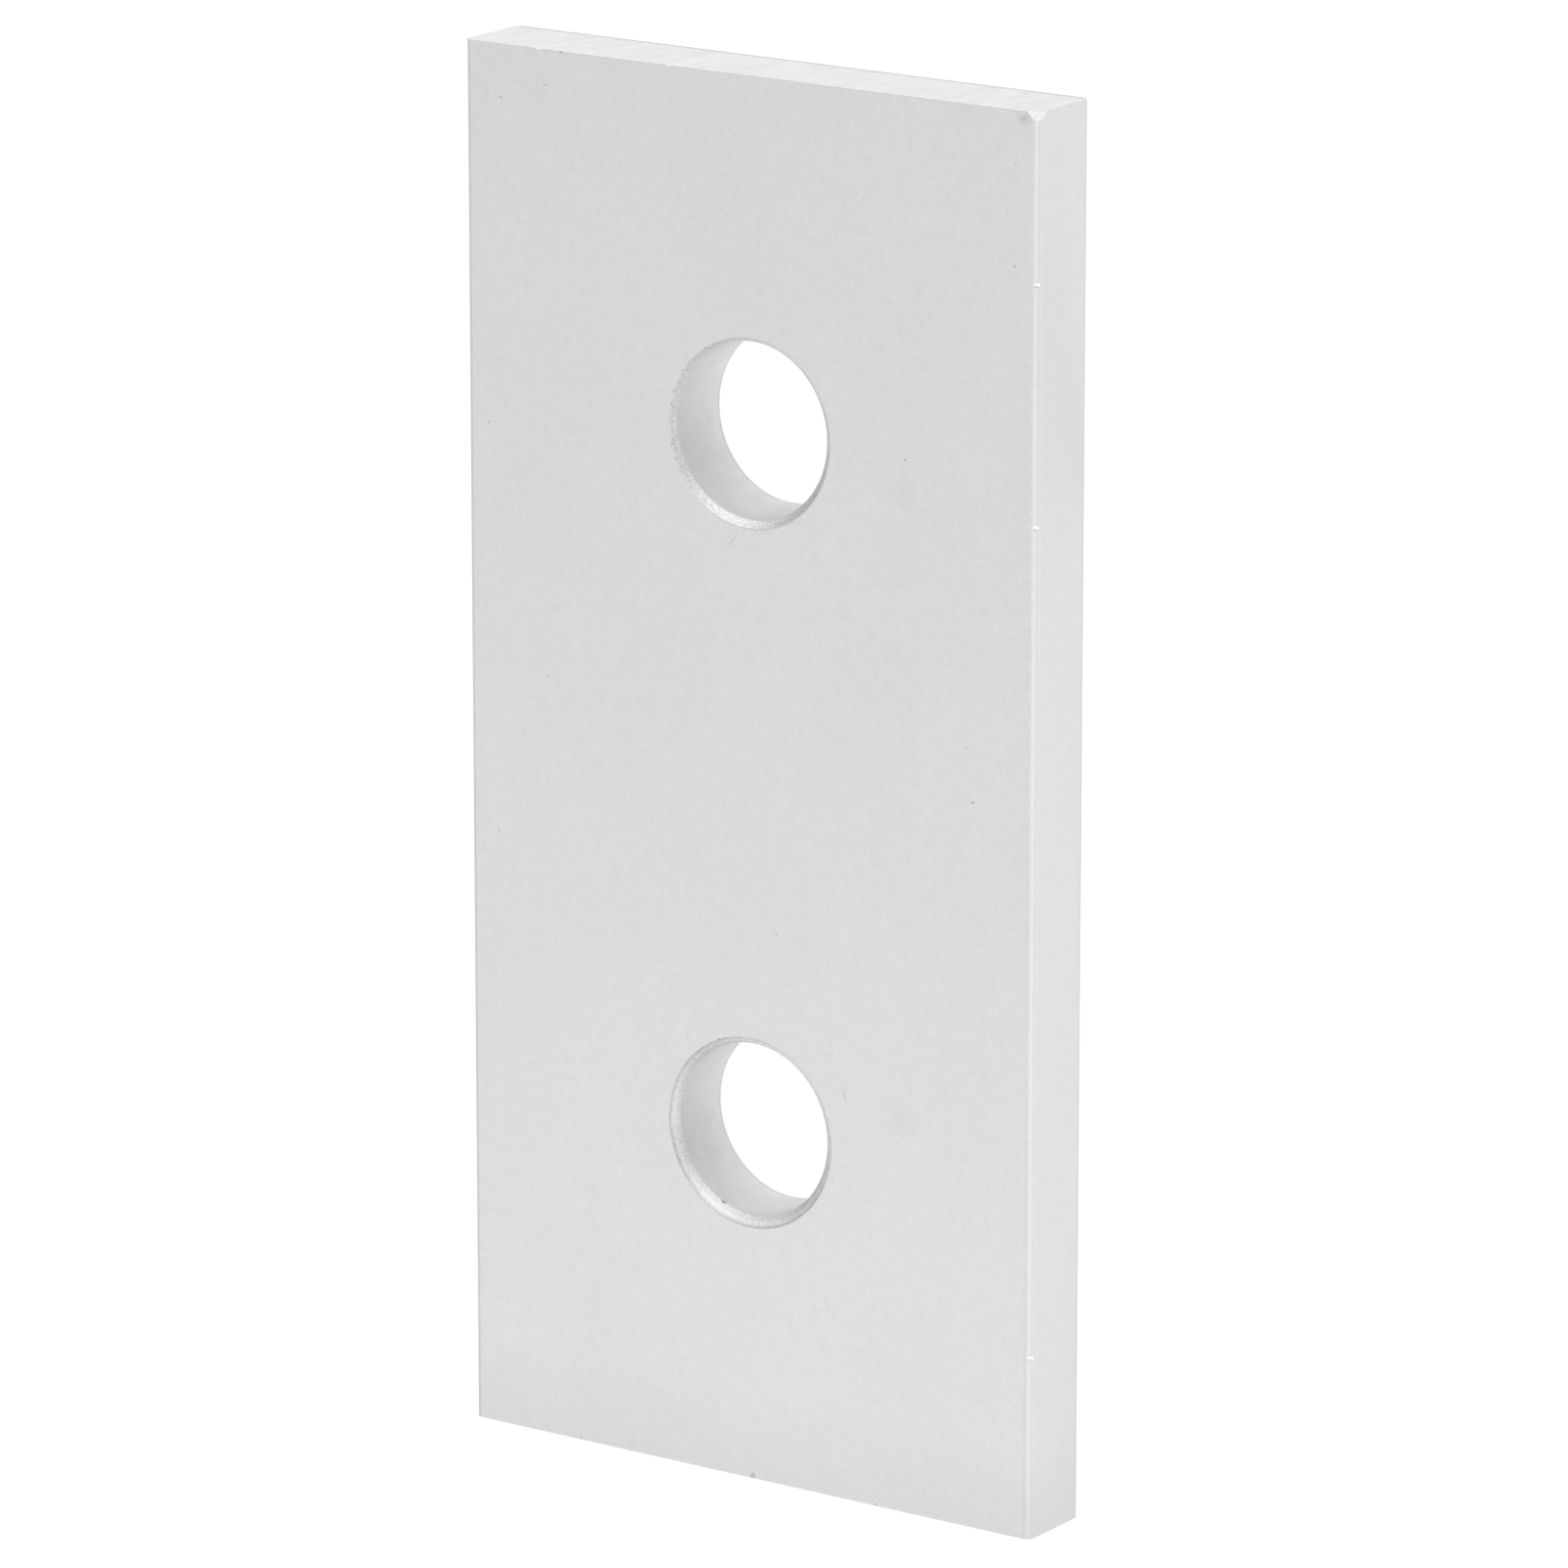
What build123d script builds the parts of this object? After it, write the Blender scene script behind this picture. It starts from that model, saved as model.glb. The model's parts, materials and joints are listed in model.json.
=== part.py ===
from build123d import *
import os

# Joining plate for aluminium profiles: one length of flat bar with two bolt holes in line.
# Millimetres. The plate lies on its back face: X runs across its width, Y along its length
# and +Z out of its front face. The origin is the centre of the back face.

os.makedirs("parts", exist_ok=True)

# flat bar, sawn to length
plate_length = 80.0
plate_width = 38.0
plate_thickness = 5.0
bar_edge_radius = 0.5  # die radius on the four long edges; the sawn ends stay sharp

# clearance holes, one on the centre line of each profile that the plate joins
hole_diameter = 10.0
hole_pitch = 40.0

# rims broken after drilling: by hand at the front, so the two differ, and alike at the back
upper_rim_chamfer = 0.45
lower_rim_chamfer = 0.6
back_rim_chamfer = 0.45

# knocked front corner at the upper end: how far the small flat runs along each edge
knock_width = 0.7
knock_height = 1.0
knock_depth = 1.2


def hole_rims():
    """Circles of the holes and bar edges, in layers from the back face to the front face."""
    return edges().filter_by(GeomType.CIRCLE).group_by(Axis.Z)


with BuildPart() as joining_plate:
    # the bar's rounded section, pushed both ways from mid-length
    with BuildSketch(Plane.XZ):
        with Locations((0, plate_thickness / 2)):
            RectangleRounded(plate_width, plate_thickness, bar_edge_radius)
    extrude(amount=plate_length / 2, both=True)

    # two bolt holes, drilled through from the front face
    with Locations(Plane.XY.offset(plate_thickness)):
        with GridLocations(hole_pitch, hole_pitch, 1, 2):
            Hole(hole_diameter / 2)

    # rims
    chamfer(hole_rims()[-1].sort_by(Axis.Y)[-1], length=upper_rim_chamfer)
    chamfer(hole_rims()[-1].sort_by(Axis.Y)[0], length=lower_rim_chamfer)
    chamfer(hole_rims()[0], length=back_rim_chamfer)

    # knocked corner, cut off by a plane through one point on each of its three edges
    corner = Vector(plate_width / 2, plate_length / 2, plate_thickness)
    knock_plane = Plane(
        origin=corner - Vector(knock_width, 0, 0),
        z_dir=Vector(1 / knock_width, 1 / knock_height, 1 / knock_depth),
    )
    split(bisect_by=knock_plane, keep=Keep.BOTTOM)

joining_plate.part.label = "joining_plate"
export_step(joining_plate.part, "parts/joining_plate.step")
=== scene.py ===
import math
import random

import bpy
from mathutils import Matrix, Vector
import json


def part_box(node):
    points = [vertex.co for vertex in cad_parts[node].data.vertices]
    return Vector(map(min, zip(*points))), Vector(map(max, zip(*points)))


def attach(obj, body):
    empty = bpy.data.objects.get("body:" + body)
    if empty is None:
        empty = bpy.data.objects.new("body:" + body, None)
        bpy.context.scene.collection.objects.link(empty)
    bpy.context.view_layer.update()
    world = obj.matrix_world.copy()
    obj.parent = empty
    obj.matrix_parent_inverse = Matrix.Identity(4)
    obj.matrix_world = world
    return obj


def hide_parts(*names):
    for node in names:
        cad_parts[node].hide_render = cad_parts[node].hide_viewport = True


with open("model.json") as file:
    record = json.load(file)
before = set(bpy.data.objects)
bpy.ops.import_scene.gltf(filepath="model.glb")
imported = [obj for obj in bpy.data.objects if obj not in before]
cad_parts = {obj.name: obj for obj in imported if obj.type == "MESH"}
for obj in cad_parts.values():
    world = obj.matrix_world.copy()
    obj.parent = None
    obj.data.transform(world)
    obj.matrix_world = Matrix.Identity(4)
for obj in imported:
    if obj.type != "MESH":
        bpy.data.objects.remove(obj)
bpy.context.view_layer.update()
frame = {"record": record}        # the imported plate, in metres, lying on its back face

mm = 0.001
low, high = (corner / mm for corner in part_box("joining_plate"))
width, length, thickness = high - low
mounts = {mount["name"]: mount for mount in frame["record"]["mounts"]}
print("frame loaded:", round(width, 1), "x", round(length, 1), "x", round(thickness, 1), "mm")

# The plate is modelled in millimetres, a thousand times as large as it is, because cuts as fine
# as these merge at true size. It is shrunk when it is done.


# the holes: drilled, then their rims broken with a countersink held by hand

holeNames = ("upper_hole", "lower_hole")
drill = {                      # mm, across and along
    "stray": {"upper_hole": (0.07, 0.16), "lower_hole": (0.05, 0.25)},    # off the nominal centre
    "lean": {"upper_hole": (-0.07, 0.2), "lower_hole": (-0.05, 0.07)},    # further, at the back
}
holes = {
    "sides": 512,
    "overrun": 0.3,            # mm, how far a cutter runs out past either face
    "rimRings": 8,
    "backChamfer": 0.45,
    "flare": {"upper_hole": 0.78, "lower_hole": 0.85},     # how much a rim widens for its depth
    "lip": 0.03,               # mm, the front rims' upright outer edge
    "chatter": {"upper_hole": 0.04, "lower_hole": 0.034},  # mm, how far the torn metal swings
    "chatterSize": 0.16,
    "roughArc": (195, 275),    # degrees round the rim where the countersink tore the metal most
    "calmShare": 0.35,         # of the chatter elsewhere
    "cleanFoot": 0.02,         # mm above the bore, up to where a rim isn't torn
    "drift": {"upper_hole": (0.13, -0.05), "lower_hole": (0.14, -0.02)},   # mm, at the face
}


def holeCentre(name):
    return Vector(mounts[name]["pos_m"]) / mm + Vector((*drill["stray"][name], 0))


def sinkDrift(name):
    # how far the countersink had wandered off the hole's centre when it was full in
    return Vector((*holes["drift"][name], 0))


def frontChamfer(name):
    # depth of a front rim, which is what the wall and the back rim leave of the thickness
    return thickness - holes["backChamfer"] - mounts[name]["dims"]["length_mm"]


def rimRadius(name, climb=1):
    # of a front rim, from 0 where it meets the bore to 1 at the face
    reach = frontChamfer(name) - holes["lip"]
    return mounts[name]["dims"]["r_mm"] + climb * reach * holes["flare"][name]


def rimPoint(name, degrees, depth):
    # a point on a front rim, at this depth below the face
    climb = max(0, min(1, 1 - depth / frontChamfer(name)))
    away = rimRadius(name, climb)
    angle = math.radians(degrees)
    driftX, driftY = holes["drift"][name]
    return holeCentre(name) + Vector((
        climb * driftX + away * math.cos(angle),
        climb * driftY + away * math.sin(angle),
        thickness - depth - mounts[name]["pos_m"][2] / mm,
    ))


# helpers for work by operators

squareOn = 0.99                # how nearly a face has to point a way to count as facing it


def deselectAll():
    if bpy.context.object and bpy.context.object.mode != "OBJECT":
        bpy.ops.object.mode_set(mode="OBJECT")
    bpy.ops.object.select_all(action="DESELECT")


def activate(piece):
    deselectAll()
    piece.select_set(True)
    bpy.context.view_layer.objects.active = piece


def startEdit(piece, kind):
    activate(piece)
    bpy.ops.object.mode_set(mode="EDIT")
    bpy.ops.mesh.select_mode(type=kind)
    bpy.ops.mesh.select_all(action="DESELECT")
    bpy.ops.object.mode_set(mode="OBJECT")


def editFaces(piece, wanted):
    # goes into edit mode with just the faces that pass the test selected
    startEdit(piece, "FACE")
    for face in piece.data.polygons:
        face.select = wanted(face)
    bpy.ops.object.mode_set(mode="EDIT")


def editEdges(piece, wanted):
    # the same with the edges whose two ends pass the test
    startEdit(piece, "EDGE")
    points = piece.data.vertices
    for edge in piece.data.edges:
        edge.select = wanted(*(points[i].co for i in edge.vertices))
    bpy.ops.object.mode_set(mode="EDIT")


def editDone():
    bpy.ops.object.mode_set(mode="OBJECT")


def applyPlace(piece):
    activate(piece)
    bpy.ops.object.transform_apply(location=True, rotation=True, scale=True)


def applyModifier(piece, kind, **settings):
    activate(piece)
    bpy.ops.object.modifier_add(type=kind)
    modifier = piece.modifiers[-1]
    for name, value in settings.items():
        setattr(modifier, name, value)
    bpy.ops.object.modifier_apply(modifier=modifier.name)


def cutWith(piece, tool, operation="DIFFERENCE"):
    # the faces that a tool leaves have the tool's own finish
    applyModifier(
        piece,
        "BOOLEAN",
        object=tool,
        operation=operation,
        solver="EXACT",
        material_mode="TRANSFER",
    )
    toolMesh = tool.data
    bpy.data.objects.remove(tool)
    bpy.data.meshes.remove(toolMesh)


def joinAll(pieces):
    deselectAll()
    for piece in pieces:
        piece.select_set(True)
    bpy.context.view_layer.objects.active = pieces[0]
    bpy.ops.object.join()
    return pieces[0]


# small marks that use has left, and one spot of painted shade, from the centre of the plate

marks = {
    "pits": (                      # across, along, size
        (-16.5, 37.0, 0.15),
        (-13.5, 38.0, 0.13),
        (17.5, 37.0, 0.11),
        (17.5, 31.5, 0.17),
        (-17.5, 18.5, 0.14),
        (10.5, 20.0, 0.16),
        (-13.0, 8.5, 0.11),
        (-13.5, 4.5, 0.12),
        (14.5, 4.5, 0.12),
        (15.0, 1.5, 0.18),
        (-17.0, -5.0, 0.13),
        (2.0, -8.0, 0.12),
    ),
    "scratches": (                 # across, along, length, width, direction in degrees
        (-0.9, 14.0, 1.0, 0.035, 50),
        (6.6, -16.5, 0.8, 0.035, -75),
    ),
    "smudgesAndShade": (                   # across, along, radius, how much it darkens; the last is painted shade
        (10.5, 18.2, 1.1, 0.05),
        (10.5, -17.2, 1.2, 0.045),
        (-7.7, -29.0, 1.0, 0.03),
        # painted shade: the dark spot beside the knocked corner's dent
        (18.08, 39.62, 0.62, 0.17),
    ),
    "nicks": (                     # across, along, width, height
        (-11.5, -40.0, 0.12, 0.5),
        (0.4, -40.0, 0.4, 0.9),
        (8.7, -40.0, 0.18, 0.5),
        (-12.35, 40.0, 0.34, 0.26),
    ),
    "dents": (                     # across, along, width, height, depth
        (17.93, 39.7, 0.6, 0.5, 0.02),
    ),
    "chips": (                     # hole, degrees round its rim, depth below the face, size
        ("lower_hole", 108, 0.02, 0.13),
        ("lower_hole", 112, 0.02, 0.2),
        ("lower_hole", 246, 0.6, 0.24),
        ("lower_hole", 349, 0.1, 0.13),
    ),
    "flecks": (30.6, 17.3, -29.5),  # along the right front edge
    "scores": (                    # across, depth behind the front face that it runs back to
        (-13.9, 2.3),
        (-5.1, 3.7),
    ),
}


# finishes, each a metal with its own tone, grain and roughness

contrast = {                   # the part of a noise's range that makes the whole swing
    "soft": (0, 1),
    "plain": (0.2, 0.8),
    "crisp": (0.25, 0.75),
    "hard": (0.3, 0.7),
}
shadedSide = {                    # the painted shade round each front rim is full on the +X side of each hole and weaker on the other
    "reach": (-2.5, 1.5),      # mm across the plate, from the least to the most
    "least": 0.25,
}
edgeTint = (0.8, 0.8, 0.8, 1.0)    # of all the metals, seen at a flat angle
endless = 100000               # mm, so long that a pattern doesn't change along that axis


def newMaterial(name):
    material = bpy.data.materials.new(name)
    material.use_nodes = True
    return material, material.node_tree


def placed(tree, size, turn=(0, 0, 0), place=(0, 0, 0)):
    # object coordinates for a pattern of this size in mm along each axis
    coords = tree.nodes.new("ShaderNodeTexCoord")
    mapping = tree.nodes.new("ShaderNodeMapping")
    mapping.vector_type = "TEXTURE"
    mapping.inputs["Location"].default_value = Vector(place) * mm
    mapping.inputs["Rotation"].default_value = turn
    mapping.inputs["Scale"].default_value = Vector(size) * mm
    tree.links.new(coords.outputs["Object"], mapping.inputs["Vector"])
    return mapping.outputs["Vector"]


def noise(tree, size, turn=(0, 0, 0), detail=2.0):
    texture = tree.nodes.new("ShaderNodeTexNoise")
    texture.inputs["Scale"].default_value = 1.0
    texture.inputs["Detail"].default_value = detail
    tree.links.new(placed(tree, size, turn), texture.inputs["Vector"])
    return texture.outputs["Fac"]


def spot(tree, place, radius):
    # 1 at a place, fading to nothing at the radius
    texture = tree.nodes.new("ShaderNodeTexGradient")
    texture.gradient_type = "SPHERICAL"
    sphere = placed(tree, (radius, radius, radius), place=place)
    tree.links.new(sphere, texture.inputs["Vector"])
    return texture.outputs["Fac"]


def fromAxis(tree, place):
    # distance in mm from a line through the plate at this place
    measure = tree.nodes.new("ShaderNodeVectorMath")
    measure.operation = "LENGTH"
    tree.links.new(placed(tree, (1, 1, endless), place=place), measure.inputs[0])
    return measure.outputs["Value"]


def along(tree, axis):
    # distance along one axis, in mm
    split = tree.nodes.new("ShaderNodeSeparateXYZ")
    tree.links.new(placed(tree, (1, 1, 1)), split.inputs[0])
    return split.outputs[axis]


def spread(tree, value, fromLow, fromHigh, toLow, toHigh):
    # one range stretched onto another, and held at its ends
    node = tree.nodes.new("ShaderNodeMapRange")
    ends = {"From Min": fromLow, "From Max": fromHigh, "To Min": toLow, "To Max": toHigh}
    for name, number in ends.items():
        node.inputs[name].default_value = number
    tree.links.new(value, node.inputs["Value"])
    return node.outputs["Result"]


def swing(tree, pattern, share, kind="soft"):
    # a tone that the pattern swings by this share to either side of 1
    return spread(tree, pattern, *contrast[kind], 1 - share, 1 + share)


def shadedSideShare(tree):
    # 1 on the +X side of each hole, where the painted shade round the rim is full, and less on the
    # other
    return spread(tree, along(tree, 0), *shadedSide["reach"], shadedSide["least"], 1)


def combine(tree, operation, first, *others):
    # first with each of the others in turn; any of them may be a plain number
    for other in others:
        node = tree.nodes.new("ShaderNodeMath")
        node.operation = operation
        for socket, value in zip(node.inputs, (first, other)):
            if isinstance(value, (int, float)):
                socket.default_value = value
            else:
                tree.links.new(value, socket)
        first = node.outputs[0]
    return first


def multiply(tree, *values):
    return combine(tree, "MULTIPLY", *values)


def metal(material, tone, roughness, height, bumpDepth):
    tree = material.node_tree
    shader = tree.nodes["Principled BSDF"]
    shader.inputs["Metallic"].default_value = 1.0
    shader.inputs["Specular Tint"].default_value = edgeTint
    tree.links.new(tone, shader.inputs["Base Color"])
    tree.links.new(roughness, shader.inputs["Roughness"])
    bump = tree.nodes.new("ShaderNodeBump")
    bump.inputs["Strength"].default_value = 1.0
    bump.inputs["Distance"].default_value = bumpDepth * mm
    tree.links.new(height, bump.inputs["Height"])
    tree.links.new(bump.outputs["Normal"], shader.inputs["Normal"])
    return material


satin = {
    "tone": 0.805,
    "grain": (0.13, 0.16, 0.13),         # mm
    "grainTone": 0.09,                   # how far the tone swings, of the whole
    "mottle": (0.7, 0.8, 0.7),
    "mottleTone": 0.02,
    "cloud": (7, 11, 7),
    "cloudTone": 0.02,
    "drawLines": (0.35, 18, 0.35),       # left by the die, along the bar
    "drawTone": 0.008,
    "drawDepth": 0.15,                   # of the grain's
    "shadedLowerEnd": (                         # mm from the lower end: where it starts, where it is full; how dark. Painted shade towards the lower end
        (14.0, 8.0, 0.985),
        (5.5, 0.3, 0.935),
    ),
    "shadowLineAtTop": (0.14, 0.96),           # mm from the upper end; how dark. Painted shade: a dark line just below the upper edge
    "rimShadowLine": (0.1, 0.82),              # mm round a front rim; how dark. Painted shade: a dark line round the rim's outer edge
    "backEdge": (0.2, 0.45, 0.76),       # mm from the back: where it is fully dark, where that ends; how dark
    "roughness": (0.44, 0.54),
    "bumpDepth": 0.004,
}


def makeSatinAnodised():
    material, tree = newMaterial("satinAnodised")
    grain = noise(tree, satin["grain"], detail=3)
    lines = noise(tree, satin["drawLines"], detail=1)
    swings = {
        "grainTone": grain,
        "mottleTone": noise(tree, satin["mottle"], detail=1),
        "cloudTone": noise(tree, satin["cloud"], detail=2),
        "drawTone": lines,
    }
    tone = satin["tone"]
    for share, pattern in swings.items():
        tone = multiply(tree, swing(tree, pattern, satin[share]), tone)
    up = along(tree, 1)
    # painted shade: the finish darkened towards the lower end
    for none, full, darkest in satin["shadedLowerEnd"]:
        tone = multiply(tree, tone, spread(tree, up, low.y + none, low.y + full, 1, darkest))
    # painted shade: a dark line along the upper edge of the front face
    reach, darkest = satin["shadowLineAtTop"]
    tone = multiply(tree, tone, spread(tree, up, high.y - reach, high.y, 1, darkest))
    nearBack, farFromBack, darkest = satin["backEdge"]
    tone = multiply(tree, tone, spread(tree, along(tree, 2), nearBack, farFromBack, darkest, 1))
    # painted shade: a dark line round each front rim, strongest on the +X side
    reach, darkest = satin["rimShadowLine"]
    for name in holeNames:
        away = fromAxis(tree, holeCentre(name) + sinkDrift(name))
        radius = rimRadius(name)
        rimShadow = spread(tree, away, radius, radius + reach, 1, 0)
        rimShadow = multiply(tree, rimShadow, shadedSideShare(tree))
        tone = multiply(tree, tone, spread(tree, rimShadow, 0, 1, 1, darkest))
    # smudges darken the finish; the spot beside the knocked corner is painted shade
    for across, up, radius, darkens in marks["smudgesAndShade"]:
        darkSpot = spot(tree, (across, up, high.z), radius)
        tone = multiply(tree, tone, spread(tree, darkSpot, 0, 1, 1, 1 - darkens))
    rough = spread(tree, grain, *contrast["hard"], *satin["roughness"])
    height = combine(tree, "ADD", grain, multiply(tree, lines, satin["drawDepth"]))
    return metal(material, tone, rough, height, satin["bumpDepth"])


sawn = {
    "tone": 0.915,
    "lean": math.radians(13),            # of the blade's marks, from the thickness towards +X
    "streaks": (0.14, 3, 2.4),           # mm
    "streakTone": 0.07,
    "patches": (1.6, 3, 1.2),            # mm
    "patchTone": 0.02,
    "arrisHighlight": (0.2, 1.05),                # mm below the front edge; how bright. Painted highlight along the front arris
    "backEdge": (0.4, 0.7),              # mm from the back, darker towards it; how dark
    "roughness": (0.42, 0.58),
    "bumpDepth": 0.008,
}


def makeSawnEnd():
    material, tree = newMaterial("sawnEnd")
    streaks = noise(tree, sawn["streaks"], turn=(0, -sawn["lean"], 0), detail=3)
    patches = noise(tree, sawn["patches"], detail=2)
    deep = along(tree, 2)
    # painted highlight: a bright line along the sawn end's front arris
    litReach, bright = sawn["arrisHighlight"]
    nearBack, darkest = sawn["backEdge"]
    tone = multiply(
        tree,
        swing(tree, streaks, sawn["streakTone"], "plain"),
        swing(tree, patches, sawn["patchTone"]),
        spread(tree, deep, thickness - litReach, thickness, 1, bright),
        spread(tree, deep, 0, nearBack, darkest, 1),
        sawn["tone"],
    )
    rough = spread(tree, streaks, *contrast["hard"], *sawn["roughness"])
    return metal(material, tone, rough, streaks, sawn["bumpDepth"])


bore = {
    # painted light and shade: the bore darker towards the front face and lighter towards its open
    # back
    "shadedToneAtFront": 0.72,
    "litToneAtBack": 0.83,
    "burrEdge": (0.56, 0.64, 0.86),      # mm from the back: its last thread of metal; how dull
    "darkening": 0.2,                        # how much the painted shade darkens one side of the bore
    "shadeAt": (-4.6, -1.9, 3.2),        # mm: across, along from the hole's centre, height
    "shadeRadius": 5.2,
    "shadeCore": 0.8,                    # how near its middle the painted shade is full
    "smears": (0.7, 0.7, 3.5),           # mm, along the hole
    "smearTone": 0.045,
    "patches": (0.9, 0.9, 0.7),
    "patchTone": 0.045,
    "rings": (40, 40, 0.09),             # mm, the drill's feed marks
    "ringTone": 0.03,
    "roughness": (0.36, 0.5),
    "bumpDepth": 0.006,
}


def makeDrilledBore():
    material, tree = newMaterial("drilledBore")
    smears = noise(tree, bore["smears"], detail=3)
    patches = noise(tree, bore["patches"], detail=3)
    rings = noise(tree, bore["rings"], detail=1)
    deep = along(tree, 2)
    edgeStart, edgeEnd, darkest = bore["burrEdge"]
    # the first factor is painted light and shade: darker towards the front, lighter towards the
    # back
    tone = multiply(
        tree,
        spread(tree, deep, edgeEnd, thickness, bore["litToneAtBack"], bore["shadedToneAtFront"]),
        spread(tree, deep, edgeStart, edgeEnd, darkest, 1),
        swing(tree, smears, bore["smearTone"], "plain"),
        swing(tree, patches, bore["patchTone"], "plain"),
        swing(tree, rings, bore["ringTone"]),
    )
    # painted shade: each bore darker on its lower left side, part way in
    for name in holeNames:
        across, up, height = bore["shadeAt"]
        darkening = spot(tree, (across, holeCentre(name).y + up, height), bore["shadeRadius"])
        shadeTone = spread(tree, darkening, 0, bore["shadeCore"], 1, 1 - bore["darkening"])
        tone = multiply(tree, tone, shadeTone)
    rough = spread(tree, smears, *contrast["hard"], *bore["roughness"])
    return metal(material, tone, rough, rings, bore["bumpDepth"])


rim = {
    "tone": 0.85,
    "crystals": (0.11, 0.11, 0.16),      # mm, torn grain left by the countersink
    "crystalTone": 0.18,
    "turns": (40, 40, 0.12),             # mm, the countersink's own fine rings
    "turnTone": 0.13,
    "lipShade": (0.14, 0.76),             # mm below the face; how dark at the very edge. Painted shade along the rim's outer edge
    "darkening": ("lower_hole", 262, 2.7, 0.22),    # degrees round it, radius, how much it darkens the rim
    "roughness": (0.36, 0.54),
    "bumpDepth": 0.02,
}


def makeDeburredRim():
    material, tree = newMaterial("deburredRim")
    crystals = noise(tree, rim["crystals"], detail=2)
    turns = noise(tree, rim["turns"], detail=1)
    # painted shade: each rim darker at its outer edge, strongest on the +X side of the hole
    reach, darkest = rim["lipShade"]
    lip = spread(tree, along(tree, 2), thickness - reach, thickness, 0, 1)
    lip = multiply(tree, lip, shadedSideShare(tree))
    tone = multiply(
        tree,
        swing(tree, crystals, rim["crystalTone"], "crisp"),
        swing(tree, turns, rim["turnTone"], "crisp"),
        spread(tree, lip, 0, 1, 1, darkest),
        rim["tone"],
    )
    name, degrees, radius, darkens = rim["darkening"]
    darkening = spot(tree, rimPoint(name, degrees, 0), radius)
    tone = multiply(tree, tone, spread(tree, darkening, 0, 1, 1, 1 - darkens))
    rough = spread(tree, crystals, *contrast["hard"], *rim["roughness"])
    return metal(material, tone, rough, crystals, rim["bumpDepth"])


bare = {
    "tone": 0.95,
    "grain": (0.12, 0.3, 0.12),          # mm
    "grainTone": 0.08,
    "roughness": (0.28, 0.42),
    "bumpDepth": 0.006,
}


def makeBareMetal():
    # where a fleck or a score has gone through the anodising
    material, tree = newMaterial("bareMetal")
    grain = noise(tree, bare["grain"], detail=2)
    tone = spread(tree, grain, *contrast["crisp"], bare["tone"] - bare["grainTone"], bare["tone"])
    rough = spread(tree, grain, *contrast["soft"], *bare["roughness"])
    return metal(material, tone, rough, grain, bare["bumpDepth"])


dirt = {
    "dirtyPit": (0.55, 0.68),            # its tone
    "tornEdge": (0.5, 0.68),
    "grain": (0.06, 0.06, 0.06),         # mm
    "roughness": (0.6, 0.8),
    "bumpDepth": 0.004,
}


def makeDirty(name):
    material, tree = newMaterial(name)
    grain = noise(tree, dirt["grain"], detail=2)
    tone = spread(tree, grain, *contrast["hard"], *dirt[name])
    rough = spread(tree, grain, *contrast["soft"], *dirt["roughness"])
    return metal(material, tone, rough, grain, dirt["bumpDepth"])


satinAnodised = makeSatinAnodised()
sawnEnd = makeSawnEnd()
drilledBore = makeDrilledBore()
deburredRim = makeDeburredRim()
bareMetal = makeBareMetal()
dirtyPit = makeDirty("dirtyPit")
tornEdge = makeDirty("tornEdge")
print("finishes made:", len(bpy.data.materials))


# the bar: two sawn ends and the rounded section between them

bar = {
    "edgeRadius": 0.5,
    "edgeSteps": 8,
    "margin": 0.4,        # how far the sawn blank stands proud of the section that trims it
    "cell": 0.14,         # mesh size over the sawn ends
    "sawDepth": 0.009,
    "sawPitch": 0.16,
    "sawRun": 3.2,        # length of the blade's marks
    "sawPlace": (300, 100),    # the noise's own centre, the other way for the lower end
}


def makeSawnBlank():
    blankWidth = width + 2 * bar["margin"]
    blankHeight = thickness + 2 * bar["margin"]
    bpy.ops.mesh.primitive_grid_add(
        x_subdivisions=round(blankWidth / bar["cell"]),
        y_subdivisions=round(blankHeight / bar["cell"]),
        size=1,
        location=(0, low.y, thickness / 2),
        rotation=(math.pi / 2, 0, 0),
    )
    blank = bpy.context.object
    blank.name = "sawnBlank"
    blank.scale = (blankWidth, blankHeight, 1)
    applyPlace(blank)
    editFaces(blank, lambda face: True)
    bpy.ops.mesh.quads_convert_to_tris()
    bpy.ops.mesh.extrude_region_move(TRANSFORM_OT_translate={"value": (0, length, 0)})
    bpy.ops.mesh.select_all(action="SELECT")
    bpy.ops.mesh.normals_make_consistent(inside=False)
    editDone()
    blank.data.materials.append(sawnEnd)
    return blank


def roughenEnd(blank, side):
    # the blade's marks: noise drawn out along its travel, cut only inwards
    group = blank.vertex_groups.new(name="sawnEnd")
    end = [point.index for point in blank.data.vertices if point.co.y * side > 0]
    group.add(end, 1.0, "REPLACE")
    travel = bpy.data.objects.new("sawTravel", None)
    bpy.context.scene.collection.objects.link(travel)
    across, up = bar["sawPlace"]
    travel.location = (across * side, up, 0)
    travel.rotation_euler = (0, -sawn["lean"], 0)
    travel.scale = (bar["sawPitch"], bar["sawPitch"], bar["sawRun"])
    sawMarks = bpy.data.textures.new("sawMarks", type="CLOUDS")
    sawMarks.noise_scale = 1.0
    sawMarks.noise_depth = 2
    applyModifier(
        blank,
        "DISPLACE",
        texture=sawMarks,
        texture_coords="OBJECT",
        texture_coords_object=travel,
        direction="Y",
        mid_level=1.0,
        strength=side * bar["sawDepth"],
        vertex_group="sawnEnd",
    )
    bpy.data.objects.remove(travel)
    bpy.data.textures.remove(sawMarks)
    blank.vertex_groups.clear()


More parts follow.
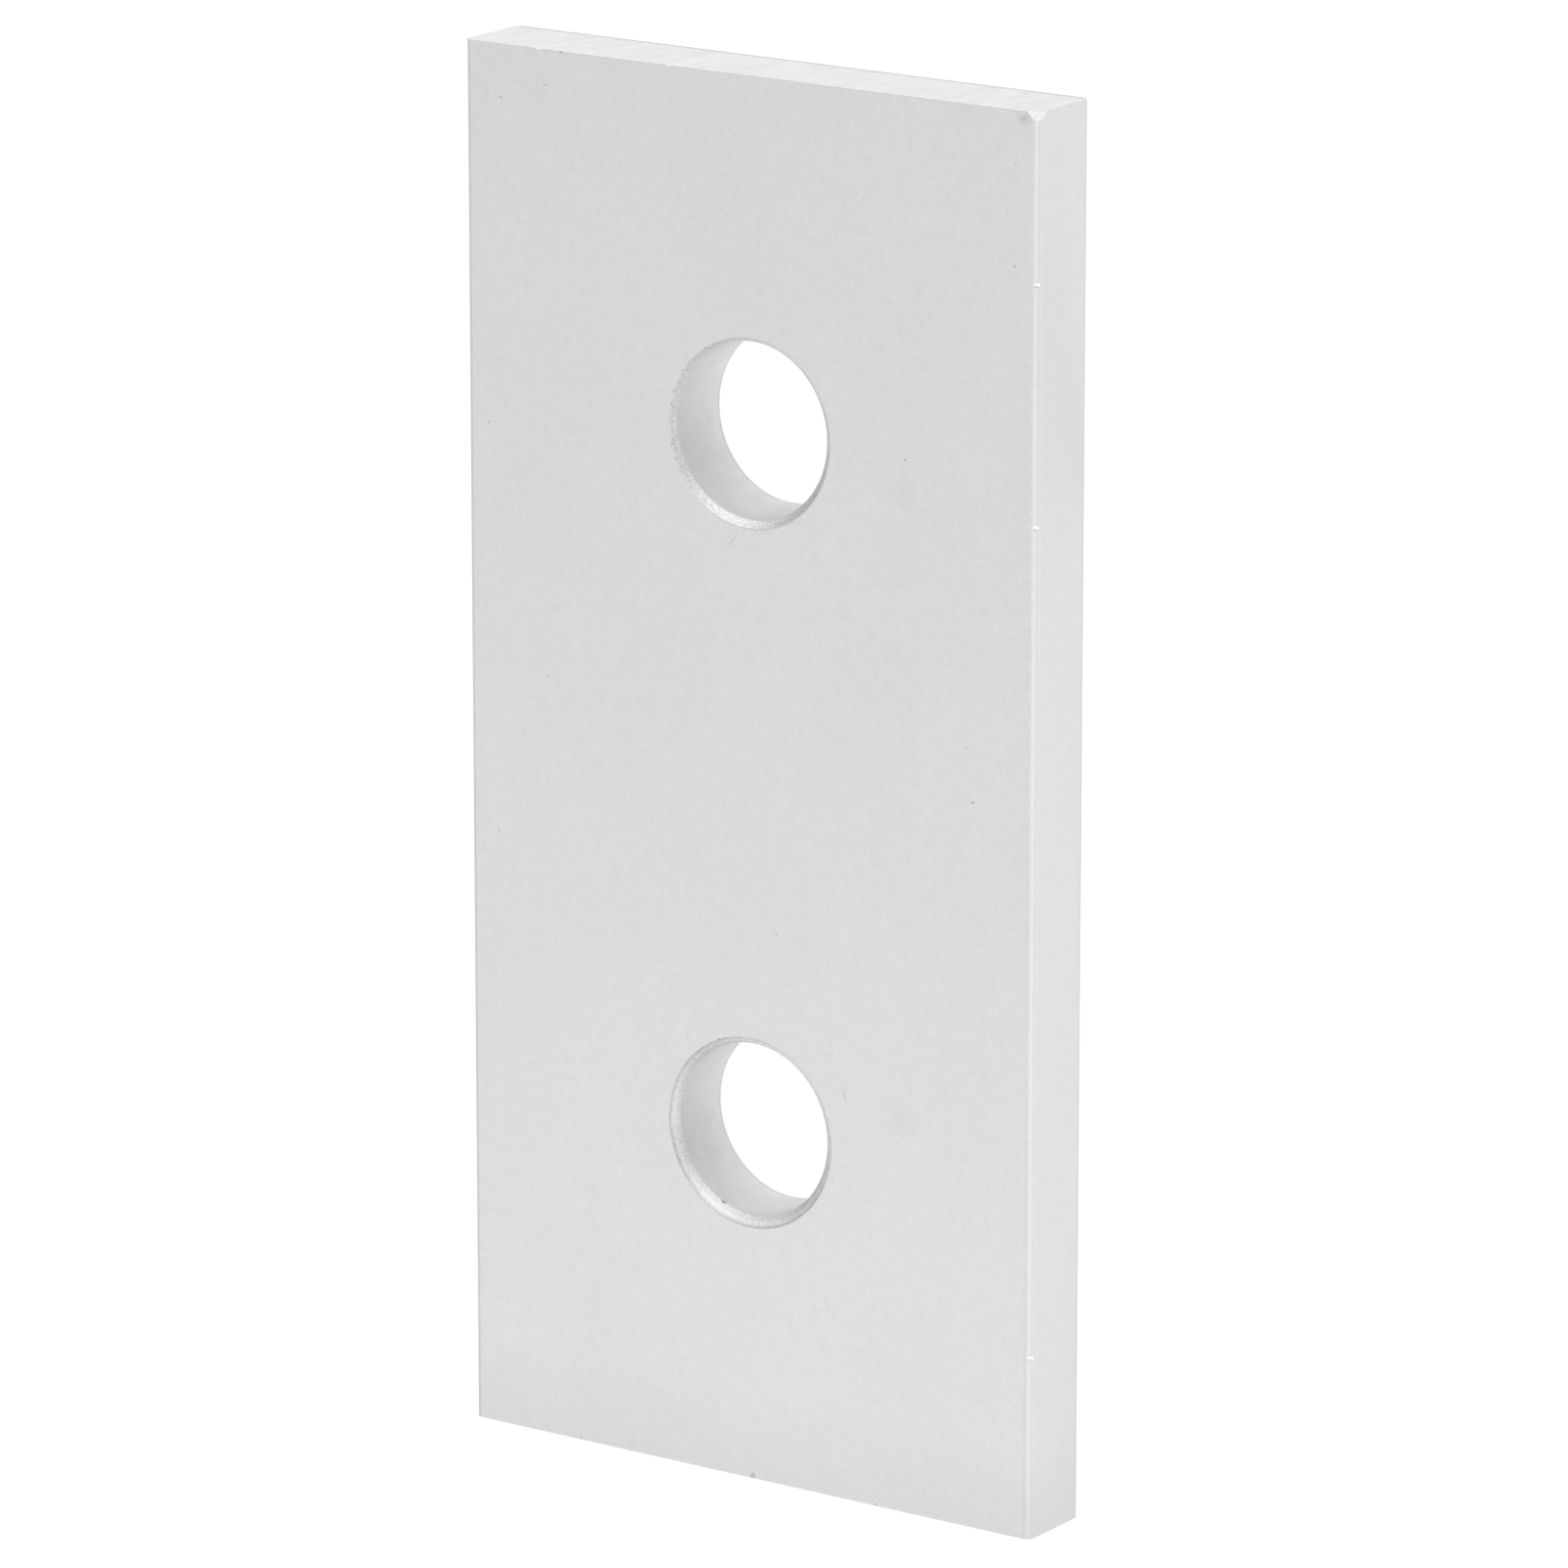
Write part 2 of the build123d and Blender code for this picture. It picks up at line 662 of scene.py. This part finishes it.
def makeSection():
    # longer than the blank, so that it trims the long sides and leaves the sawn ends alone
    bpy.ops.mesh.primitive_cube_add(size=1, location=(0, 0, thickness / 2))
    section = bpy.context.object
    section.name = "roundedSection"
    section.scale = (width, length + 4 * bar["margin"], thickness)
    applyPlace(section)
    editEdges(section, lambda a, b: abs(a.y - b.y) > length)
    bpy.ops.mesh.bevel(
        offset=bar["edgeRadius"],
        offset_type="OFFSET",
        segments=bar["edgeSteps"],
        profile=0.5,
        affect="EDGES",
    )
    editDone()
    section.data.materials.append(satinAnodised)
    return section


# the holes' cutters

def roughenRim(cutter, centre, wallHigh, depth):
    # tears a front rim, most of all where the countersink chattered
    group = cutter.vertex_groups.new(name="rim")
    start, end = holes["roughArc"]
    for point in cutter.data.vertices:
        if point.co.z > wallHigh + holes["cleanFoot"]:
            angle = math.degrees(math.atan2(point.co.y - centre.y, point.co.x - centre.x)) % 360
            share = 1.0 if start < angle < end else holes["calmShare"]
            group.add([point.index], share, "REPLACE")
    crystals = bpy.data.textures.new("tornMetal", type="CLOUDS")
    crystals.noise_scale = holes["chatterSize"]
    crystals.noise_depth = 1
    applyModifier(
        cutter,
        "DISPLACE",
        texture=crystals,
        texture_coords="LOCAL",
        direction="NORMAL",
        mid_level=0.5,
        strength=depth,
        vertex_group="rim",
    )
    bpy.data.textures.remove(crystals)
    cutter.vertex_groups.clear()


def widen(cutter, side, middle, rise, grow):
    # pushes the end face of the cutter out by one step and scales it about the middle
    editFaces(cutter, lambda face: face.normal.z * side > squareOn)
    bpy.ops.mesh.extrude_region_move(TRANSFORM_OT_translate={"value": (0, 0, side * rise)})
    bpy.ops.transform.resize(value=(grow, grow, 1), center_override=middle)
    editDone()


def makeHoleCutter(mount):
    name = mount["name"]
    centre = holeCentre(name)
    radius = mount["dims"]["r_mm"]
    wall = mount["dims"]["length_mm"]
    wallLow = holes["backChamfer"]
    bpy.ops.mesh.primitive_cylinder_add(
        vertices=holes["sides"],
        radius=radius,
        depth=wall,
        location=(centre.x, centre.y, wallLow + wall / 2),
    )
    cutter = bpy.context.object
    cutter.name = name + "Cutter"
    applyPlace(cutter)
    cutter.data.materials.append(drilledBore)
    cutter.data.materials.append(deburredRim)
    front = frontChamfer(name) - holes["lip"]
    rims = {1: (front, holes["flare"][name]), -1: (wallLow + holes["overrun"], 1)}
    for side, (reach, flare) in rims.items():
        step = reach / holes["rimRings"]
        for ring in range(holes["rimRings"]):
            before = radius + ring * step * flare
            widen(cutter, side, centre, step, 1 + step * flare / before)
    widen(cutter, 1, centre, holes["lip"] + holes["overrun"], 1)
    boreSlot, rimSlot = 0, 1
    for face in cutter.data.polygons:
        upright = abs(face.normal.z) < 1 - squareOn
        inWall = upright and face.center.z < wallLow + wall
        face.material_index = boreSlot if inWall else rimSlot
    slant(cutter, name, wallLow + wall, front)
    roughenRim(cutter, centre, wallLow + wall, holes["chatter"][name])
    return cutter


def slant(cutter, name, wallHigh, reach):
    # the drill leaned a little, and the countersink wandered off the hole's centre as it went in
    lean = Vector((*drill["lean"][name], 0))
    drift = sinkDrift(name)
    for point in cutter.data.vertices:
        height = point.co.z
        climb = max(0, min(1, (height - wallHigh) / reach))
        point.co += lean * (1 - height / thickness) + drift * climb


# the knocked corner, then pits, scratches, nicks and scores cut by one small round tool

knock = {
    "along": (0.75, 0.7875, 0.825),      # mm, how far the knocked corner runs along each edge
    "onPlane": 0.0001,                   # mm, nearer than which a point counts as on its plane
}


def knockCorner(plate):
    # cut off by one plane; the flat that this leaves has the sawn end's finish
    runX, runY, runZ = knock["along"]
    editFaces(plate, lambda face: True)
    bpy.ops.mesh.bisect(
        plane_co=high - Vector((runX, 0, 0)),
        plane_no=(1, runX / runY, runX / runZ),    # bisect takes no part of a normal past 1
        use_fill=True,
        clear_outer=True,
        threshold=knock["onPlane"],
    )
    editDone()


def makeRoundTool():
    # one across, so that a copy's scale is its size in mm
    bpy.ops.mesh.primitive_ico_sphere_add(subdivisions=3, radius=0.5)
    tool = bpy.context.object
    tool.name = "roundTool"
    return tool


def toolCopy(tool, finish, place, size, turn=(0, 0, 0)):
    # a copy of the tool at a place, with its size along each of its own axes
    copy = tool.copy()
    copy.data = tool.data.copy()
    bpy.context.scene.collection.objects.link(copy)
    copy.location = place
    copy.scale = size
    copy.rotation_euler = turn
    applyPlace(copy)
    copy.data.materials.append(finish)
    return copy


cuts = {                       # how the tool is sized and placed for each kind of mark
    "pitHeight": 0.4,          # of the pit's size
    "pitRise": 0.08,           # the same, for how high the tool's centre stands over the face
    "nickHeight": 0.4,         # of the nick's width
    "nickRise": 0.1,
    "dentSpread": 1.15,        # of the dent's size, because the tool's middle stands over the face
    "dentHeight": 4,           # of its depth
    "fleck": (0.5, 0.35, 0.09),    # mm
    "scoreWide": 0.34,         # mm
    "scoreDeep": 0.17,
    "chipRun": 1.3,            # of the chip's size, round the rim
    "chipHeight": 0.7,
}


def markTools(tool):
    made = []
    for across, up, size in marks["pits"]:
        place = (across, up, high.z + cuts["pitRise"] * size)
        made.append(toolCopy(tool, dirtyPit, place, (size, size, cuts["pitHeight"] * size)))
    for across, up, run, wide, direction in marks["scratches"]:
        turn = (0, 0, math.radians(direction))
        made.append(toolCopy(tool, dirtyPit, (across, up, high.z), (run, wide, wide), turn))
    for across, up, wide, tall in marks["nicks"]:
        place = (across, up, high.z + cuts["nickRise"] * wide)
        made.append(toolCopy(tool, dirtyPit, place, (wide, tall, cuts["nickHeight"] * wide)))
    for across, up, wide, tall, deep in marks["dents"]:
        place = (across, up, high.z + deep)
        grow = cuts["dentSpread"]
        size = (grow * wide, grow * tall, cuts["dentHeight"] * deep)
        made.append(toolCopy(tool, satinAnodised, place, size))
    inset = bar["edgeRadius"] * (1 - math.sqrt(0.5))
    for up in marks["flecks"]:
        place = (high.x - inset, up, high.z - inset)
        made.append(toolCopy(tool, bareMetal, place, cuts["fleck"], (0, math.radians(45), 0)))
    for across, back in marks["scores"]:
        run = 2 * back / math.cos(sawn["lean"])
        size = (cuts["scoreWide"], cuts["scoreDeep"], run)
        place = (across, high.y, high.z)
        made.append(toolCopy(tool, bareMetal, place, size, (0, -sawn["lean"], 0)))
    return made


def chipTools(tool):
    made = []
    for name, degrees, depth, size in marks["chips"]:
        place = rimPoint(name, degrees, depth)
        shape = (size, cuts["chipRun"] * size, cuts["chipHeight"] * size)
        made.append(toolCopy(tool, dirtyPit, place, shape, (0, 0, math.radians(degrees))))
    return made


burrs = {
    "seed": 7,
    "upper_hole": {"arc": (98, 215), "gap": (0.02, 0.35), "size": (0.03, 0.12)},
    "lower_hole": {"arc": (118, 215), "gap": (0.1, 0.5), "size": (0.03, 0.07)},
    "rareness": 3,             # of the large ones
    "stretch": 2.2,            # of a burr's size, round the rim
    "height": 0.8,
    "depth": 0.03,             # mm, how far below the face they lie at most
}


def burrTools(tool, name):
    # grains torn out along a rim's outer edge, at uneven gaps so that no two meet
    start, end = (math.radians(degrees) for degrees in burrs[name]["arc"])
    small, large = burrs[name]["size"]
    radius = mounts[name]["dims"]["r_mm"]
    made = []
    while start < end:
        size = small + (large - small) * random.random() ** burrs["rareness"]
        run = burrs["stretch"] * size
        angle = start + run / 2 / radius
        place = rimPoint(name, math.degrees(angle), random.uniform(0, burrs["depth"]))
        shape = (size, run, burrs["height"] * size)
        made.append(toolCopy(tool, tornEdge, place, shape, (0, 0, angle)))
        start += (run + random.uniform(*burrs[name]["gap"])) / radius
    return made


def cutMarks(plate):
    tool = makeRoundTool()
    made = markTools(tool) + chipTools(tool)
    random.seed(burrs["seed"])
    for name in holeNames:
        made += burrTools(tool, name)
    bpy.data.objects.remove(tool)
    cutWith(plate, joinAll(made))


def sharpenBorders(plate):
    # the holes' edges stay crisp, however the torn facets beside them lie
    for name in ("drilledBore", "deburredRim"):
        slot = plate.data.materials.find(name)
        editFaces(plate, lambda face: face.material_index == slot)
        bpy.ops.mesh.region_to_loop()
        bpy.ops.mesh.mark_sharp()
        editDone()


def makePlate():
    plate = makeSawnBlank()
    for side in (1, -1):
        roughenEnd(plate, side)
    print("sawn ends:", len(plate.data.polygons), "faces")
    cutWith(plate, makeSection(), "INTERSECT")
    for name in holeNames:
        cutWith(plate, makeHoleCutter(mounts[name]))
    print("section and holes cut:", len(plate.data.polygons), "faces")
    knockCorner(plate)
    cutMarks(plate)
    print("marks cut:", len(plate.data.polygons), "faces")
    plate.name = plate.data.name = "joiningPlate"
    plate.scale = (mm, mm, mm)
    applyPlace(plate)
    return plate


smoothing = {
    "angle": math.radians(28),    # below which two faces are shaded as one
    "weight": 100,                # how much more the large faces count
}


def smoothPlate(plate):
    activate(plate)
    bpy.ops.object.shade_smooth_by_angle(angle=smoothing["angle"])
    sharpenBorders(plate)
    weight = smoothing["weight"]
    applyModifier(plate, "WEIGHTED_NORMAL", mode="FACE_AREA", weight=weight, keep_sharp=True)


plate = makePlate()
smoothPlate(plate)
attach(plate, "root")
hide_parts("joining_plate")
print("plate finished:", [material.name for material in plate.data.materials])


# floor, world, lamps and camera

studio = {
    "floorSize": 4.0,        # metres
    "floorGap": 0.2 * mm,    # air under the plate, so that its back face and the floor don't meet
    "floorGrey": 0.8,
    "floorGlow": 0.9,        # what the camera's rays add on the floor, so it shows as white
    "floorMirror": 0.865,    # what mirror rays add there
    "floorShade": 0.18,      # how much of the floor's own light and shadow those rays still see
    "worldLevel": 0.82,
    "ceilingLevel": 0.798,   # what a mirror ray meets straight overhead, where the room is dimmer
    "ceilingFrom": (0.35, 0.8),    # how steeply it points there: the start, and where it is full
    "leftLevel": 0.537,      # and what it meets level with the floor on the left
    "leftFrom": (-0.6, -0.95),
    "nearLevel": 0.55,       # and level with the floor straight past the lower end
    "nearFrom": (-0.8, -0.98),
    "cornerLevel": 0.448,    # and in the room's far right corner, above the floor
    "cornerFrom": ((0.6, 0.8), (-0.2, 0.0), (0.1, 0.3)),    # to the right, far side and sky
}


def seenRays(tree):
    # 1 for camera, glossy and transmission rays
    path = tree.nodes.new("ShaderNodeLightPath")
    kinds = ("Is Camera Ray", "Is Glossy Ray", "Is Transmission Ray")
    return combine(tree, "MAXIMUM", *(path.outputs[kind] for kind in kinds))


def greyDiffuse(tree, grey):
    shader = tree.nodes.new("ShaderNodeBsdfDiffuse")
    shader.inputs["Color"].default_value = (grey, grey, grey, 1)
    return shader.outputs[0]


def makeFloor():
    bpy.ops.mesh.primitive_plane_add(size=studio["floorSize"], location=(0, 0, -studio["floorGap"]))
    floor = bpy.context.object
    floor.name = "studioFloor"
    material, tree = newMaterial("whiteFloor")
    nodes, links = tree.nodes, tree.links
    nodes.remove(nodes["Principled BSDF"])
    path = nodes.new("ShaderNodeLightPath")
    toCamera = path.outputs["Is Camera Ray"]
    glow = nodes.new("ShaderNodeEmission")
    strength = spread(tree, toCamera, 0, 1, studio["floorMirror"], studio["floorGlow"])
    links.new(strength, glow.inputs["Strength"])
    seen = nodes.new("ShaderNodeAddShader")
    links.new(greyDiffuse(tree, studio["floorShade"]), seen.inputs[0])
    links.new(glow.outputs[0], seen.inputs[1])
    mix = nodes.new("ShaderNodeMixShader")
    links.new(seenRays(tree), mix.inputs[0])
    links.new(greyDiffuse(tree, studio["floorGrey"]), mix.inputs[1])
    links.new(seen.outputs[0], mix.inputs[2])
    links.new(mix.outputs[0], nodes["Material Output"].inputs["Surface"])
    floor.data.materials.append(material)


def makeWorld():
    world = bpy.data.worlds.new("studioWorld")
    world.use_nodes = True
    bpy.context.scene.world = world
    tree = world.node_tree
    nodes, links = tree.nodes, tree.links
    background = nodes["Background"]
    background.inputs["Color"].default_value = (1, 1, 1, 1)
    coords = nodes.new("ShaderNodeTexCoord")
    split = nodes.new("ShaderNodeSeparateXYZ")
    links.new(coords.outputs["Generated"], split.inputs[0])
    path = nodes.new("ShaderNodeLightPath")
    toRight, toFar, toSky = split.outputs
    ceiling = spread(tree, toSky, *studio["ceilingFrom"], 1, studio["ceilingLevel"])
    left = spread(tree, toRight, *studio["leftFrom"], 1, studio["leftLevel"])
    near = spread(tree, toFar, *studio["nearFrom"], 1, studio["nearLevel"])
    ways = zip((toRight, toFar, toSky), studio["cornerFrom"])
    shares = [spread(tree, way, *reach, 0, 1) for way, reach in ways]
    corner = multiply(tree, *shares, 1 - studio["cornerLevel"])
    dim = multiply(tree, ceiling, left, near, combine(tree, "SUBTRACT", 1, corner))
    mirror = combine(tree, "MAXIMUM", dim, path.outputs["Is Camera Ray"])
    rays = seenRays(tree)
    seen = multiply(tree, mirror, rays)
    unseen = multiply(tree, combine(tree, "SUBTRACT", 1, rays), studio["worldLevel"])
    links.new(combine(tree, "ADD", seen, unseen), background.inputs["Strength"])


lamps = {                      # metres and watts; all of them point at the plate's middle
    "farBox": {"place": (0.0, 0.92, 0.38), "size": 0.7, "power": 0.49},
    "farLeftBox": {"place": (-0.35, 0.88, 0.32), "size": 0.6, "power": 0.43},
    "frontBox": {"place": (0.55, -0.24, 0.8), "size": 0.3, "power": 0.41},
    "frontRightBox": {"place": (0.76, -0.22, 0.6), "size": 0.25, "power": 0.27},
    "nearBox": {"place": (0.0, -0.95, 0.3), "size": 0.5, "power": 0.17},
    "nearLeftBox": {"place": (-0.4, -0.6, 0.3), "size": 0.5, "power": 1.12},
}


def makeLamp(name, facts):
    place = Vector(facts["place"])
    bpy.ops.object.light_add(type="AREA", location=place)
    lamp = bpy.context.object
    lamp.name = name
    lamp.data.shape = "SQUARE"
    lamp.data.size = facts["size"]
    lamp.data.energy = facts["power"]
    lamp.rotation_euler = (-place).to_track_quat("-Z", "Y").to_euler()


camera = {
    "azimuth": math.radians(34.76),      # round the plate's long axis, from square on towards +X
    "elevation": math.radians(14.81),    # towards the upper end
    "distance": 540.5 * mm,              # from the centre of the front face
    "slide": (2.07 * mm, 0.29 * mm),     # right and up, to bring the whole plate near the middle
    "lens": 224.9,
    "sensor": 36,
    "clip": (0.01, 20),                  # metres
}


def makeCamera():
    azimuth, elevation = camera["azimuth"], camera["elevation"]
    back = Vector((
        math.sin(azimuth) * math.cos(elevation),
        math.sin(elevation),
        math.cos(azimuth) * math.cos(elevation),
    ))
    right = Vector((math.cos(azimuth), 0, -math.sin(azimuth)))
    up = back.cross(right)
    aim = Vector((0, 0, high.z * mm))
    slideRight, slideUp = camera["slide"]
    place = aim + back * camera["distance"] + right * slideRight + up * slideUp
    bpy.ops.object.camera_add(location=place)
    made = bpy.context.object
    made.name = "studioCamera"
    made.data.sensor_width = camera["sensor"]
    made.data.lens = camera["lens"]
    made.data.clip_start, made.data.clip_end = camera["clip"]
    made.rotation_euler = Matrix((right, up, back)).transposed().to_euler()
    bpy.context.scene.camera = made


makeFloor()
makeWorld()
for name, facts in lamps.items():
    makeLamp(name, facts)
makeCamera()
bpy.context.scene.view_settings.view_transform = "Standard"
print("studio set")
